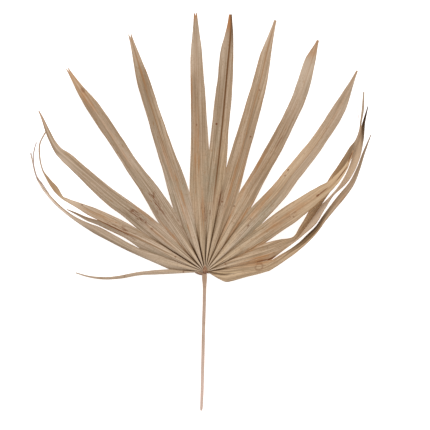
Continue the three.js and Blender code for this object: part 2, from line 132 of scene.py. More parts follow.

# Segments, left to right, as seen looking out from the hub. Open ones have the free rib's route, the half
# widths, the tip's half width and the fold of both halves down from the rib, spread evenly along the route.
# Folded ones have stations from the fork to the tip on the rib and on both edges. Where a segment is split
# along its rib, the rib's stations end at the split, and each half has the rest of its own inner edge.
# Other shapes: split is where an open tip comes apart, a negative ridge is a crease along the rib, and bow
# swells the pleated part sideways.
# Looks: warmth, cooler where negative; browning of the tip, and where it starts; how strongly the rib shows,
# as a pale line where negative, with painted shade in its crease near 1; grey; shade, which is painted shade
# where negative and painted light where positive, bright above 1; char, a dark margin partly of painted
# shadow; and crease, painted shade along the rib near the hub, by its reach and strength. Warmth, shade and
# char are a number, or a list spread evenly along the free part. A pair is for the left and the right half.
SEGMENTS = [
    dict(
        rib=[[-45, 0.8, 9], [-81, -2, 6], [-106, -6.3, 3], [-125, -7.9, 1.5], [-144, -6, 0.9], [-162, -1, 3]],
        half=[2.6, 2, 1.5], tip=0.7, fold=[10, 8, 0, 0],
        warmth=-0.4, browning=0.15, brown_from=0.55, rib_show=0.2, grey=0.4, shade=0.4,
    ),
    dict(
        rib=[
            [-64, 16.5, 11], [-76.9, 20.1, 12.5], [-98.1, 30, 13.5], [-122.1, 42.8, 13.5], [-144, 56, 13.5],
            [-162.5, 66.6, 13.5], [-180.4, 80, 15], [-195.5, 95.9, 18], [-206, 110.2, 23], [-212, 123.7, 28],
            [-217.2, 148, 38],
        ],
        left=[
            [-71.3, 15.3, 9], [-93.8, 25, 9.5], [-118.8, 37.5, 10.5], [-141.3, 49.8, 12],
            [-161.3, 62.8, 12.5], [-181.3, 78.6, 14.5], [-196.6, 94.6, 18], [-206.9, 109.2, 23],
            [-212.6, 123.3, 28], [-217.8, 147.9, 38],
        ],
        right=[
            [-96.3, 36.8, 12.5], [-111.3, 45, 13], [-130, 55.3, 13], [-147.5, 62.3, 12.5],
            [-163.8, 70.2, 12.5], [-179.4, 81.6, 15], [-194.4, 97.3, 18], [-205, 111.3, 23],
            [-211.4, 124.1, 28], [-216.6, 148.1, 38],
        ],
        warmth=([-0.4, -0.4, -0.4, -0.8], [-0.3, -0.3, 0.4, 0.2]), browning=0, brown_from=0.55,
        rib_show=0.1, grey=0.5, shade=([0.2, 0.15, 0.3, 1.8, 2, 1.8], [0.3, 0.2, 0.3, 0.7, 0.6, 1.2]),
        char_and_shadow=([0.25, 0.4, 0.25, 0, 0, 0], 0),
    ),
    dict(
        rib=[[-82.8, 42.4, 14], [-98.8, 49, 17], [-116.3, 56.8, 18.5], [-132.5, 64.4, 19.5]],
        left=[
            [-98.8, 41.5, 14], [-115, 49.6, 14.5], [-131.3, 57.5, 15], [-146.3, 63.4, 15.5],
            [-160, 70.9, 15.5], [-172.8, 77.9, 17],
        ],
        left_rib=[[-147.5, 68.6, 18], [-160.6, 74.1, 17], [-172.9, 78.9, 17]],
        right_rib=[
            [-146.9, 71.6, 20.5], [-160, 80, 21.5], [-171.9, 87, 22.5], [-178.8, 91.3, 23.5],
            [-187.2, 99.2, 25], [-193.8, 108.2, 28], [-199.1, 118, 31], [-203.5, 127.5, 34],
            [-207, 142.5, 37], [-206.9, 160, 40.5], [-199.5, 175.1, 43],
        ],
        right=[
            [-101.3, 63.4, 15.5], [-117.5, 71.3, 16.5], [-133.8, 78.8, 18], [-148.8, 84, 19.5],
            [-161.3, 88.4, 21], [-172.5, 92.3, 23], [-177.8, 95, 27], [-183.9, 104.4, 31], [-191, 112.8, 33],
            [-197.6, 120.8, 34], [-201.9, 128, 34.5], [-205.2, 142.5, 37], [-205.1, 160, 40.5],
            [-198, 173.9, 43],
        ],
        warmth=(-0.2, [0.1, 0.2, 0.3, 0.6, 1.1, 1.1, -0.3, -1]), browning=(0.2, 0.2), brown_from=0.42,
        rib_show=0.5, grey=0.3, shade=([-0.1, -0.2, -0.4], [0.1, 0, 0.2, 1.1, 0.4, 0.3, 0.7, 0.6]),
    ),
    dict(
        rib=[
            [-70.6, 59, 14], [-88.8, 73.8, 18.5], [-106.3, 86.9, 21], [-125, 102.5, 23.5],
            [-143.8, 118.8, 25.5], [-161.3, 133.8, 28.5], [-175, 145.6, 31.5], [-184.4, 152.9, 33.5],
            [-191.3, 163.8, 34.5], [-196.9, 176.9, 35.5], [-202.3, 190.5, 36.5], [-207.5, 201.5, 38],
        ],
        left=[
            [-101.3, 68.8, 16.5], [-118.8, 81.9, 19], [-136.3, 96.9, 21.5], [-153.8, 114.4, 24],
            [-169.4, 129.6, 26.5], [-181.9, 141.5, 29], [-188.1, 150.6, 31], [-193.8, 162.5, 33],
            [-199.3, 175.4, 34.5], [-203.8, 190, 36.5], [-208.1, 201.2, 38],
        ],
        right=[
            [-73.1, 73.4, 16.5], [-92.5, 87.5, 19], [-112.5, 101.9, 21.5], [-132.5, 117.8, 24.5],
            [-151.9, 134, 26.5], [-168.1, 147.8, 28.5], [-180, 155.3, 30.5], [-187.9, 165.4, 32],
            [-194.5, 178.1, 34], [-200.8, 191.3, 36.5], [-206.9, 201.8, 38],
        ],
        warmth=[-0.3, 0, 0.2, 0.2], browning=0.5, brown_from=0.7, rib_show=-0.55, grey=0.6,
        shade=(
            [-0.1, -0.1, -0.1, -0.1, 0.1, 0.6, 0.9, 0.3, 0, 0.1, 0.2, 0.3],
            [-0.1, -0.15, -0.2, -0.15, -0.2, -0.25, 0.1, 0.6, 0.4, 0.1, 0.2, 0.2],
        ),
    ),
    dict(
        rib=[
            [-48.2, 71.2, 14], [-69.4, 102.5, 18], [-95.3, 137.5, 19], [-121.9, 178.3, 14], [-141, 206.6, 8],
            [-155.9, 228.1, 3], [-173, 255.6, 0.9],
        ],
        half=([9.4, 7.4, 7.4], [10.2, 9.4, 8.2]), tip=1.6, fold=[8, 6, 3, 0], split=0.975,
        warmth=[-0.4, -0.2, 0.1, 1.1], browning=0.5, brown_from=0.76, rib_show=-0.4,
        grey=0.6, shade=([-0.15, -0.2, -0.25, -0.3, -0.2, 1.1], [-0.1, -0.15, -0.15, -0.1, 0, 1.1]),
    ),
    dict(
        rib=[
            [-29, 90.5, 14], [-39.4, 123, 17], [-50.8, 155.6, 17], [-60.8, 187.4, 14], [-72, 222.9, 9],
            [-82.3, 258, 3.5], [-94.3, 298, 0.9],
        ],
        half=([11.2, 9.5, 7.8], [10.4, 8.7, 6.8]), tip=1.9, fold=[8, 6, 3, 0], split=0.977,
        warmth=([-0.5, -0.3, 0, 0.2], [-0.4, 0.1, 0.2, 0.2]), browning=0.35, brown_from=0.85, rib_show=0.4,
        grey=0.8, shade=([-0.1, -0.2, -0.35, -0.3, 0.4], [-0.1, -0.1, -0.25, -0.45, 0.4]),
    ),
    dict(
        rib=[
            [-6.7, 127, 15], [-7.5, 152.5, 15.5], [-9.4, 215, 11], [-10.9, 277.5, 2.5], [-11.5, 300, 0.5],
            [-12, 324.6, 0.5],
        ],
        half=([10.3, 8.4, 7.3], [11.1, 9.1, 6.7]), tip=2.1, fold=[8, 6, 4, 3], split=0.985,
        warmth=([0.7, 0.3, -0.4], [0.6, 0.1, -0.4]), browning=0.6, brown_from=0.9, rib_show=0.25, grey=0.6,
        shade=([-0.1, -0.25, -0.3, -0.35, 0.3, -0.2], [-0.2, -0.35, -0.25, -0.2, 0.3, -0.2]),
    ),
    dict(
        rib=[
            [17.2, 141.5, 15], [22.8, 196.3, 13], [28.8, 263.8, 4.5], [31.8, 295.8, 0.5], [31.8, 322.3, 0.5],
        ],
        half=([12.6, 11.7, 10.2], [8.5, 8.8, 5.5]), tip=2.0, fold=[0, -12, -6, 0],
        ridge=-0.5, warmth=([0.6, 0.1, -0.2, 0.4], [0.8, 0.3, 0]), browning=(0.9, 0.5), brown_from=0.8,
        rib_show=1.0, grey=0.6, shade=([-0.2, -0.35, -0.25, -0.35], [-0.2, -0.25, -0.3, -0.55]),
        char_and_shadow=(0, [0, 0, 0, 0, 0, 0.35, 0.6]),
    ),
    dict(
        rib=[
            [34.3, 115, 15], [47.9, 160.6, 16], [61.6, 210.9, 11], [71.3, 246.8, 6], [78.8, 280, 2],
            [88.1, 315, 0.5],
        ],
        half=([11.6, 9.6, 7.8], [9.9, 10.3, 6.6]), tip=1.7, fold=[8, 6, 3, 0],
        warmth=[0.6, 0.45, 0.25, 0.1], browning=0.1, brown_from=0.85, rib_show=0.5,
        grey=0.4, shade=([-0.25, -0.3, -0.15, 0.6], [-0.25, -0.35, 0, 0.6]),
    ),
    dict(
        rib=[
            [50.2, 90, 15], [65.4, 116.9, 18], [90.4, 159.6, 19], [104, 187, 17], [117.4, 217.5, 12],
            [129.3, 251.9, 5], [141.3, 290, 0.5],
        ],
        half=([10.4, 10.6, 10.3, 9.4, 8.8, 9.2, 8.2], [10, 9.2, 8.6, 8.2, 8.2, 7.9, 5.2]),
        tip=1.4, fold=[8, 6, 3, 0],
        warmth=[0.6, 0.5, 0.3, -0.6, -0.5], browning=0.4, brown_from=0.87,
        rib_show=0.25, grey=0.35, shade=[0, -0.25, -0.3, -0.3, 0, 0.45, -0.1],
    ),
    dict(
        rib=[
            [64.7, 70.4, 15], [91.6, 99.5, 20], [108.8, 121.9, 22], [136.4, 155.9, 21], [160.4, 191.8, 15],
            [171.9, 212.5, 9.5], [190.3, 251.8, 0.5],
        ],
        half=[10.6, 9.1, 8.2], tip=1.1, fold=[8, 6, 3, 0],
        warmth=([0.6, 0.8, 0.7, 0.1, -0.4], [0.3, 0.5, 0.3, -0.2, -0.5]), browning=0.3, brown_from=0.9,
        rib_show=0.35, grey=0.6, shade=[0, 0.3, 0.4, 0.1, -0.15, 0.3],
    ),
    dict(
        rib=[
            [73.5, 49.2, 15], [92.5, 62.5, 20.5], [112.5, 75.6, 24.5], [131.3, 88.1, 27.5],
            [145.6, 98.4, 29.5], [157.5, 106.9, 31], [167.5, 118.1, 32], [176, 130.6, 33],
            [181.5, 142.3, 33.5], [185, 151.9, 34],
        ],
        left=[
            [87.5, 73.1, 18], [106.3, 86.3, 22.5], [125, 97.5, 26], [140, 105.6, 28.5], [152.5, 112.5, 30.5],
            [163.8, 121.5, 32], [173.8, 132.5, 33], [180.4, 143.1, 33.5], [184.4, 151.7, 34],
        ],
        right=[
            [98.1, 52.5, 18], [116.3, 65, 22], [133.8, 79.1, 25.5], [148.8, 92.8, 28], [160.4, 104, 30],
            [170, 115.9, 31.5], [177.8, 129.1, 32.5], [182.5, 141.5, 33.3], [185.6, 152.1, 34],
        ],
        warmth=[0.7, 0.9, 1.1, 1], browning=0.3, brown_from=0.8, rib_show=0.4, grey=0.5,
        shade=([0, 0.3, 0.4, 0.5, 0.9, 0.9], [0.05, 0.35, 0.45, 0.5, 1, 1]),
    ),
    dict(
        rib=[
            [78.8, 25.5, 12.5], [96.3, 32.5, 11.5], [113.1, 40.4, 10], [123.8, 52.5, 9.5], [135, 68.1, 9],
            [146.3, 85, 10],
        ],
        left=[
            [93.8, 40.9, 12.5], [110, 43.8, 15], [118.8, 57.1, 18], [130, 76.3, 19], [141.9, 94.4, 20],
            [153.8, 113.8, 21], [163.1, 128.1, 23], [172.5, 143.1, 26], [181.3, 156.9, 29],
            [187.9, 165.3, 30.5], [191.9, 176.3, 31.5], [193.5, 187.5, 32.5], [195.4, 202.5, 34],
            [197.3, 225, 36],
        ],
        left_rib=[
            [159.4, 104.4, 16], [170, 121.3, 19], [179.5, 134.5, 23.5], [187, 150.8, 27], [190.8, 163.6, 29],
            [194.1, 175.6, 31], [195.8, 187.5, 32.5], [198.4, 202.5, 34], [199, 225, 36],
        ],
        right_rib=[
            [158.2, 97, 11.5], [168, 109, 13], [177.2, 125, 16], [183.4, 141.7, 19.5], [187.5, 156.3, 22],
            [191, 167.5, 24.5], [194.1, 178.1, 26.5], [197.3, 189.4, 28.5], [202.9, 207.1, 31],
        ],
        right=[
            [97.5, 26.3, 10], [111.9, 37.1, 10.5], [124.4, 47.8, 12.5], [138.8, 60.9, 13.5],
            [149.4, 78.1, 13.5], [160.6, 95.6, 13], [172.5, 106.3, 15], [183.8, 120, 18], [191.3, 135, 20.5],
            [196, 151.3, 23], [198.1, 165.6, 25], [199.1, 177.5, 26.5], [200.4, 188.8, 28], [204, 206.9, 31],
        ],
        warmth=([0.6, 1.3, 1.1, 0.2, -0.4], [0.6, 0.5, 0.7, 0.5]), browning=(0, 0.6), brown_from=0.72,
        rib_show=0.1, grey=0.1, shade=(
            [-0.05, -0.15, 0.5, 0, -0.2, -0.15, -0.1, -0.4, -0.5, -0.4, -0.15, -0.1, -0.1, -0.1, -0.1],
            [-0.05, -0.15, 0.5, 0.8, 1.1, 1.3, 1.3, 1.1, 1, 0.8, 0.5, 0.3, 0, 0, -0.3],
        ),
        char_and_shadow=(0, [0, 0, 0, 0, 0, 0, 0, 0, 0.6, 1, 0.9]),
    ),
    dict(
        rib=[
            [72, 4, 9], [89.4, 12.5, 10], [105, 23.1, 10.5], [118.8, 31.9, 11], [131.3, 42.5, 12],
            [141.9, 53.8, 13.5], [149.4, 65.9, 15], [160, 80.6, 17.5], [173.1, 96.9, 19.5],
            [184.1, 111.5, 21], [192.1, 130, 23.5], [198.3, 148.1, 26.5], [207.2, 171.5, 31],
        ],
        left=[
            [93.8, 21.3, 9], [106.3, 28.8, 11.5], [116.9, 36.3, 15.5], [127.5, 46.3, 18.5],
            [137.5, 56.9, 20], [146.9, 69.4, 19], [157.5, 83.8, 18.5], [170, 99.6, 20], [181.3, 114, 21.5],
            [190, 131.3, 24], [196.6, 148.8, 27], [206.6, 171.3, 31],
        ],
        right=[
            [91.3, 8.1, 7.5], [105, 17.5, 8.5], [118.1, 27.5, 10], [132.5, 40.3, 11.5], [143.1, 52.5, 13],
            [151.3, 64.4, 14], [162.5, 78.1, 16], [176.3, 94.6, 18], [186.6, 110, 20], [194, 129.3, 22.5],
            [199.6, 147.6, 26], [207.8, 171.7, 31],
        ],
        bow=-4.5, crease=(34, 0.6), warmth=([0.9, 0.9, 0.4, -0.2], [0.9, 0.8, 0.3, -0.4]), browning=0.1,
        brown_from=0.75, rib_show=0.2, grey=0.2,
        shade=([0.2, -0.4, -0.85, -0.4, -0.25, -0.35], [0.25, 0.25, 0.05, -0.2, -0.35]),
        char_and_shadow=([0, 0.1, 0.4, 0.6, 0.85, 0.8, 0.35, 0.1, 0.1, 0.2, 0.2, 0.2], 0),
    ),
]

# Marks on the blade: x, y, half length, half width, turn in degrees, strength. Stains, grey patches and
# scuffs have soft edges, and scars sharp ones that wander; some of the scars are painted shadow lines.
STAINS = [
    (-3, 78, 22, 1.6, 91, 0.6), (-12, 150, 55, 1.4, 90.5, 0.45), (-30, 100, 30, 1.3, 107, 0.5),
    (-16.6, 224, 22, 0.9, 90, 0.7), (-8.2, 160, 44, 0.8, 91, 0.6), (-78, 246, 20, 1.2, 107, 0.4),
    (-24, 66, 20, 1.2, 109, 0.6), (-44, 128, 34, 1.5, 108, 0.5), (-40, 45, 22, 1.4, 132, 0.6),
    (-56, 45, 20, 2.2, 141, 0.5), (-75, 72, 18, 1.6, 140, 0.5), (-110, 160, 34, 1.2, 123, 0.45),
    (-148, 216, 18, 3.0, 124, 0.7), (34, 110, 30, 1.4, 74, 0.6), (44, 118, 34, 1.2, 73, 0.5),
    (28, 62, 22, 1.6, 66, 0.5), (62, 126, 34, 1.6, 60, 0.6), (45, 66, 26, 1.4, 56, 0.6),
    (92, 118, 30, 3.0, 50, 0.5), (70, 84, 26, 2.4, 49, 0.5), (96, 64, 30, 3.4, 35, 0.4),
    (120, 84, 24, 2.4, 35, 0.3), (60, 30, 20, 2.0, 27, 0.5), (66, 17, 22, 2.4, 16, 0.6),
    (134, 276, 10, 5, 68, 0.5), (-188, 104, 13, 2.4, 124, 0.35), (-130, 70, 24, 2.0, 155, 0.25),
    (72, 13, 13, 2.6, 14, 0.7), (171, 92, 10, 2, 50, 0.3),
]
GREY_PATCHES = [
    (4, 110, 44, 5, 91, 0.9), (14, 140, 46, 5, 84, 0.7), (64, 62, 26, 5.5, 45, 1.0),
    (38, 27, 26, 5, 37, 0.8), (-30, 86, 28, 5, 111, 0.7), (-20, 128, 30, 4, 104, 0.5),
    (-62, 22, 26, 5, 160, 0.6), (-86, 92, 26, 4, 138, 0.4), (86, 86, 20, 4, 44, 0.6),
]
SCUFFS = [
    (-63, 92, 12, 4.5, 127, 1.0), (-88, 73, 11, 4.5, 142, 1.0), (-57, 78, 9, 4, 125, 0.6),
    (-73, 60, 12, 4, 140, 0.45), (-104, 54, 18, 4, 154, 0.7), (20, 88, 16, 4, 80, 0.5),
    (-2, 72, 14, 5, 92, 0.4), (-32, 62, 14, 4, 117, 0.5), (110, 72, 14, 4, 35, 0.4),
]
# Scars, and painted shadow lines along folded edges: those at x -90 to -114 below y 60 and at x 172 and 181
SCARS_AND_SHADOW_LINES = [
    (-64.3, 91.8, 8.2, 0.5, 131, 0.5), (-61.2, 90.5, 11, 0.4, 122, 0.5), (-50, 70, 9, 0.5, 124, 0.5),
    (-90.6, 73.7, 6, 0.65, 146, 0.6), (-87, 73, 6.3, 0.5, 141, 0.6), (-76, 63, 8, 0.5, 138, 0.5),
    (-73.8, 62.5, 1.8, 1.1, 140, 0.5), (-66.3, 53.8, 1.6, 1.1, 140, 0.4), (-113.8, 59, 4, 0.45, 154, 0.7),
    (-100, 53, 5, 0.45, 153, 0.7), (-90, 42, 5, 0.45, 152, 0.7), (-152.5, 227.5, 3.4, 2.4, 125, 0.4),
    (14.4, 185, 1.4, 1.4, 0, 0.9), (103.8, 127.5, 1.4, 1.0, 40, 0.8), (100, 120.5, 1.4, 0.8, 40, 0.6),
    (140.6, 95.6, 2.6, 1.1, 35, 0.7), (147, 100.5, 8, 0.8, 38, 0.7), (54, 58, 1.6, 1.2, 40, 0.6),
    (21.5, 88, 1.4, 1.2, 80, 0.7), (18.5, 92, 9, 0.8, 80, 0.7), (0, 72, 10, 0.8, 92, 0.5),
    (6.3, 74, 4, 0.8, 88, 0.5), (92, 162, 9, 0.9, 58, 0.4), (-10.6, 184, 1.4, 0.9, 90, 0.5),
    (83.5, 17.5, 6, 0.9, 30, 0.9), (73.6, 14.7, 9.6, 0.8, 13, 0.7), (67.5, 6.3, 5.6, 4.8, 30, 0.45),
    (67.5, 6.3, 3.8, 3, 30, -0.45), (-112, 54.5, 24, 0.55, 154, 0.9), (-103, 29, 12, 0.9, 157, 0.7),
    (172, 124, 12, 0.7, 52, 0.8), (181, 143, 8, 0.7, 66, 0.8),
]
MARK_SOFTNESS = 0.8
SHARP_MARK_SOFTNESS = 0.25
SHARP_MARK_WANDER = 1.2

# Stalk rings from the cut end to the head: x, y, half width, underside, top
STALK_RINGS = [
    (-4.6, -173.5, 1.1, 0.5, 2.6), (-4.4, -170, 1.7, 0, 3.6), (-3.6, -150, 1.95, 0, 4.0),
    (-2.8, -115, 2.05, 0, 4.2), (-2.0, -75, 2.1, 0, 4.4), (-0.9, -40, 2.15, 0, 4.7),
    (-0.5, -20, 2.3, 0, 5.2), (-0.5, -14, 2.6, 0, 5.8), (-0.6, -10, 3.0, 0.3, 6.6),
    (-0.6, -6, 3.1, 0.8, 7.2), (-0.5, -3, 2.9, 1.2, 7.6), (-0.3, 1.5, 2.4, 2.2, 8.0), (0, 3.8, 1.6, 3, 7.6),
    (0, 4.9, 0.6, 4.6, 7.0),
]
STALK_SIDES = 28
STALK_ROWS = 150

# Grooves along the stalk: how many round it, depth as a share of its thickness, twist in radians to a mm
STALK_GROOVES = [(7, 0.03, 0.03), (13, 0.02, 0.0)]

# Where along the stalk its pink foot fades out and its brown collar sets in
PINK_FOOT = (-164.4, -54.4)
BROWN_COLLAR = (-40.0, -9.0)

# Crest at the head of the stalk
CREST_CENTRE = (-0.1, 4.2, 7.2)
CREST_HALF_SIZE = (3.6, 7.0, 2.2)
CREST_TAPER = 0.85
CREST_TAPER_FROM = -0.6
CREST_RIBS = 6
CREST_RIB_DEPTH = 0.07
CREST_FOOT_LENGTH = 5.0
CREST_SEGMENTS = 32
CREST_RINGS = 24

# Rims of the fan beside the stalk: centre, half sizes, turn in degrees
RIMS = [
    ((-7.6, -1.0, 6.2), (6.6, 2.4, 1.5), -19),
    ((5.2, -0.6, 6.4), (3.0, 1.3, 1.3), 10),
]
RIM_SEGMENTS = 20
RIM_RINGS = 12

# Threads that hang off the segments: route, thickest radius
THREADS = [
    ([
        (-194.6, 97.6, 17.8), (-203.5, 110.4, 22.4), (-209.4, 118.1, 26.5), (-213.1, 129.4, 31),
        (-214, 139.4, 35), (-214.1, 145.6, 37), (-212.5, 154.4, 39.5), (-210.3, 161.9, 41),
    ], 0.9),
    ([(-217.2, 146, 37), (-217.3, 147.5, 38), (-216.9, 149, 39)], 0.8),
    ([(193.6, 186, 32), (191.8, 193, 33), (190.6, 200, 34), (190, 208.5, 35)], 0.35),
]
THREAD_SIDES = 8
THREAD_ROWS = 40
THREAD_ROOT = 0.4
THREAD_FULL_FROM = 0.3
THREAD_THINNING = 0.25


# Curves and frames

def along(values, share):
    """A smooth curve through values that are spread evenly over 0 to 1."""
    values = np.asarray(values, float)
    last = len(values) - 1
    place = np.asarray(share, float) * last
    index = np.minimum(np.floor(place).astype(int), last - 1)
    t = place - index
    a, b, c, d = (values[np.clip(index + step, 0, last)] for step in (-1, 0, 1, 2))
    bend = (2 * a - 5 * b + 4 * c - d) * t**2 + (3 * b - a - 3 * c + d) * t**3
    return b + 0.5 * ((c - a) * t + bend)


def route_points(points, shares):
    """Points at the given shares of the length of a smooth curve through some points."""
    points = np.asarray(points, float)
    ends = np.vstack([2 * points[0] - points[1], points, 2 * points[-1] - points[-2]])
    t = np.linspace(0, 1, ROUTE_SAMPLES // (len(points) - 1) + 1)[:, None]
    fine = []
    for a, b, c, d in zip(ends, ends[1:], ends[2:], ends[3:]):
        ka, kb, kc = (max(np.linalg.norm(q - p), 1e-6) ** 0.5 for p, q in ((a, b), (b, c), (c, d)))
        leave = ((b - a) / ka - (c - a) / (ka + kb) + (c - b) / kb) * kb
        arrive = ((c - b) / kb - (d - b) / (kb + kc) + (d - c) / kc) * kb
        square = 3 * (c - b) - 2 * leave - arrive
        cube = 2 * (b - c) + leave + arrive
        fine.append(b + leave * t + square * t**2 + cube * t**3)
    fine = np.vstack(fine)
    steps = np.linalg.norm(np.diff(fine, axis=0), axis=1)
    length = np.concatenate([[0], np.cumsum(steps)])
    return np.column_stack([np.interp(shares * length[-1], length, fine[:, axis]) for axis in range(3)])


def unit(vectors):
    return vectors / np.linalg.norm(vectors, axis=-1, keepdims=True)


def smoothstep(low, high, value):
    """0 at low and 1 at high, smoothly."""
    t = np.clip((value - low) / (high - low), 0, 1)
    return t * t * (3 - 2 * t)


def turned(points, degrees):
    """Points turned about the vertical."""
    cosine, sine = math.cos(math.radians(degrees)), math.sin(math.radians(degrees))
    x, y, z = points.T
    return np.column_stack([x * cosine - y * sine, x * sine + y * cosine, z])


def radial_points(end, shares, bow=0):
    """The way from the root circle to an end, swollen sideways by bow."""
    outward = unit(np.array(end[:2], float))
    sideways = np.array([-outward[1], outward[0]])
    root = outward * ROOT_RADIUS
    flat = root + (end[:2] - root) * shares[:, None]
    return flat + sideways * (bow * along(EDGE_SWELL, shares))[:, None]


PLEATED_SHARES = np.linspace(0, 1, PLEATED_ROWS + 1) ** PLEATED_ROW_CROWDING
FREE_SHARES = np.linspace(0, 1, FREE_ROWS + 1)


def ridge_heights(segment):
    return ROOT_HEIGHT + (segment["rib"][0][2] - ROOT_HEIGHT) * PLEATED_SHARES


def ridge_line(segment):
    """The rib from the root circle to where the segment is free."""
    flat = radial_points(segment["rib"][0], PLEATED_SHARES, segment.get("bow", 0))
    return np.column_stack([flat, ridge_heights(segment)])


def valley_line(index):
    """The fold from the root circle to a fork, or an outer edge of the fan."""
    angle, radius = FORKS[index]
    end = (radius * math.cos(math.radians(angle)), radius * math.sin(math.radians(angle)))
    flat = radial_points(end, PLEATED_SHARES, LAST_EDGE_BOW if index == len(FORKS) - 1 else 0)
    beside = [SEGMENTS[i] for i in (index - 1, index) if 0 <= i < len(SEGMENTS)]
    heights = sum(ridge_heights(segment) for segment in beside) / len(beside)
    return np.column_stack([flat, heights - along(PLEAT_DEPTHS, PLEATED_SHARES)])


def of_half(value, side):
    """One value for both halves, or a pair for the left and the right one."""
    return value[0 if side == "left" else 1] if isinstance(value, tuple) else value


def open_halves(segment, left_fork, right_fork):
    """Inner and outer line and facing of both halves of an open segment, from the fork to the tip."""
    rib = route_points(segment["rib"], FREE_SHARES)
    rib[:, 2] = np.maximum(rib[:, 2], SHEET_THICKNESS)
    ahead = unit(np.gradient(rib, axis=0))
    leftward = unit(np.cross([0, 0, 1], ahead))
    facing = np.cross(ahead, leftward)
    halves = {}
    for side, fork, sign in (("left", left_fork, 1), ("right", right_fork, -1)):
        start = fork - rib[0]
        start_side = abs(start @ leftward[0])
        start_drop = -start @ facing[0]
        start_fold = math.degrees(math.atan2(start_drop, start_side))
        fold = np.radians(along([start_fold, *segment["fold"]], FREE_SHARES))
        widths = [math.hypot(start_side, start_drop), *of_half(segment["half"], side), segment["tip"]]
        width = np.maximum(along(widths, FREE_SHARES), LEAST_HALF_WIDTH)
        forward = (start @ ahead[0]) * (1 - FREE_SHARES)
        edge = (
            rib + ahead * forward[:, None] + leftward * (sign * width * np.cos(fold))[:, None]
            - facing * (width * np.sin(fold))[:, None]
        )
        halves[side] = (rib, edge, facing)
    return halves


def through_stations(stations):
    """A smooth line through stations, with the same number of rows between each two."""
    stations = np.asarray(stations, float)
    shares = np.linspace(0, 1, (len(stations) - 1) * ROWS_TO_A_STATION + 1)
    return np.column_stack([along(stations[:, axis], shares) for axis in range(3)])


def folded_halves(segment, left_fork, right_fork):
    """The same lines for a segment that is given by stations."""
    shared = through_stations(segment["rib"])
    common = len(shared)
    lines = {}
    for side, fork, sign in (("left", left_fork, 1), ("right", right_fork, -1)):
        inner = shared
        rest = segment.get(f"{side}_rib")
        if rest:
            own = through_stations([segment["rib"][-1], *rest])
            inner = np.vstack([shared, own[1:]])
        outer = through_stations([fork, *segment[side]])
        facing = unit(np.cross(np.gradient(inner, axis=0), (outer - inner) * sign))
        lines[side] = [inner, outer, facing]
    facing = unit(lines["left"][2][:common] + lines["right"][2][:common])
    for side in lines:
        lines[side][2][:common] = facing
    return lines


# Mesh helpers

def deselect_all():
    bpy.ops.object.select_all(action="DESELECT")


def activate(*pieces):
    """Selects pieces, the first as the active one."""
    deselect_all()
    for piece in pieces:
        piece.select_set(True)
    bpy.context.view_layer.objects.active = pieces[0]


def new_piece(name):
    """The primitive that was just added, with a name, and the places of its points."""
    piece = bpy.context.object
    piece.name = name
    places = np.empty(len(piece.data.vertices) * 3)
    piece.data.vertices.foreach_get("co", places)
    return piece, places.reshape(-1, 3)


def grid_piece(name, columns, rows):
    """A flat grid, with the column and row of each of its points."""
    deselect_all()
    bpy.ops.mesh.primitive_grid_add(x_subdivisions=columns, y_subdivisions=rows, size=2)
    piece, points = new_piece(name)
    column = np.rint((points[:, 0] + 1) / 2 * columns).astype(int)
    row = np.rint((points[:, 1] + 1) / 2 * rows).astype(int)
    return piece, column, row


def tube_piece(name, sides, rows):
    """A grid to be rolled into a tube, with the angle and row of each of its points."""
    piece, column, row = grid_piece(name, sides, rows)
    return piece, 2 * np.pi * (column % sides) / sides, row


def ball_piece(name, segments, rings):
    """A ball of radius 1, with its points."""
    deselect_all()
    bpy.ops.mesh.primitive_uv_sphere_add(segments=segments, ring_count=rings)
    return new_piece(name)


def lay_points(piece, points):
    """Puts a piece's points where they belong, given in millimetres from the hub."""
    piece.data.vertices.foreach_set("co", (points * MM + HUB).ravel())
    piece.data.update()


def corner_attribute(piece, name, vectors):
    """Stores a vector for each point of a piece at its face corners."""
    mesh = piece.data
    layer = mesh.attributes.new(name, "FLOAT_VECTOR", "CORNER")
    owner = np.empty(len(mesh.loops), int)
    mesh.loops.foreach_get("vertex_index", owner)
    layer.data.foreach_set("vector", np.asarray(vectors, float)[owner].ravel())


def join_pieces(pieces, name):
    activate(*pieces)
    bpy.ops.object.join()
    piece = bpy.context.object
    piece.name = name
    piece.data.name = name
    return piece


def weld(piece, close_ends=False):
    activate(piece)
    bpy.ops.object.mode_set(mode="EDIT")
    bpy.ops.mesh.select_all(action="SELECT")
    bpy.ops.mesh.remove_doubles(threshold=WELD)
    if close_ends:
        bpy.ops.mesh.fill_holes(sides=0)
        bpy.ops.mesh.normals_make_consistent(inside=False)
    bpy.ops.object.mode_set(mode="OBJECT")


def smooth(piece, degrees=SMOOTH_ANGLE):
    activate(piece)
    bpy.ops.object.shade_smooth_by_angle(angle=math.radians(degrees))


# Blade

def edge_wave(draw, shares):
    """A slow irregular wave that dies out at both ends."""
    wave = 0
    for count in WAVE_COUNTS:
        phase = count * shares * WAVE_PACE + draw.random()
        wave = wave + count**WAVE_DECAY * np.sin(2 * np.pi * phase)
    return wave * np.sin(np.pi * np.clip(shares, 0, 1)) ** 0.5


def spread(value, free):
    """One number, or a list that is spread evenly along the free part of a segment, at each row."""
    return along(value, np.clip(free, 0, 1)) if isinstance(value, list) else np.full_like(free, value)


def stacked(*parts):
    """Vectors from three parts, each an array or one number for all points."""
    return np.column_stack(np.broadcast_arrays(*parts))


def marked(points, places):
    """How strongly each point is marked."""
    total = np.zeros(len(points))
    for x, y, half_length, half_width, turn, strength in places:
        local = turned(points - (x, y, 0), -turn)
        away = np.hypot(local[:, 0] / half_length, local[:, 1] / half_width)
        total += strength * (1 - smoothstep(1 - MARK_SOFTNESS, 1 + MARK_SOFTNESS, away))
    return total


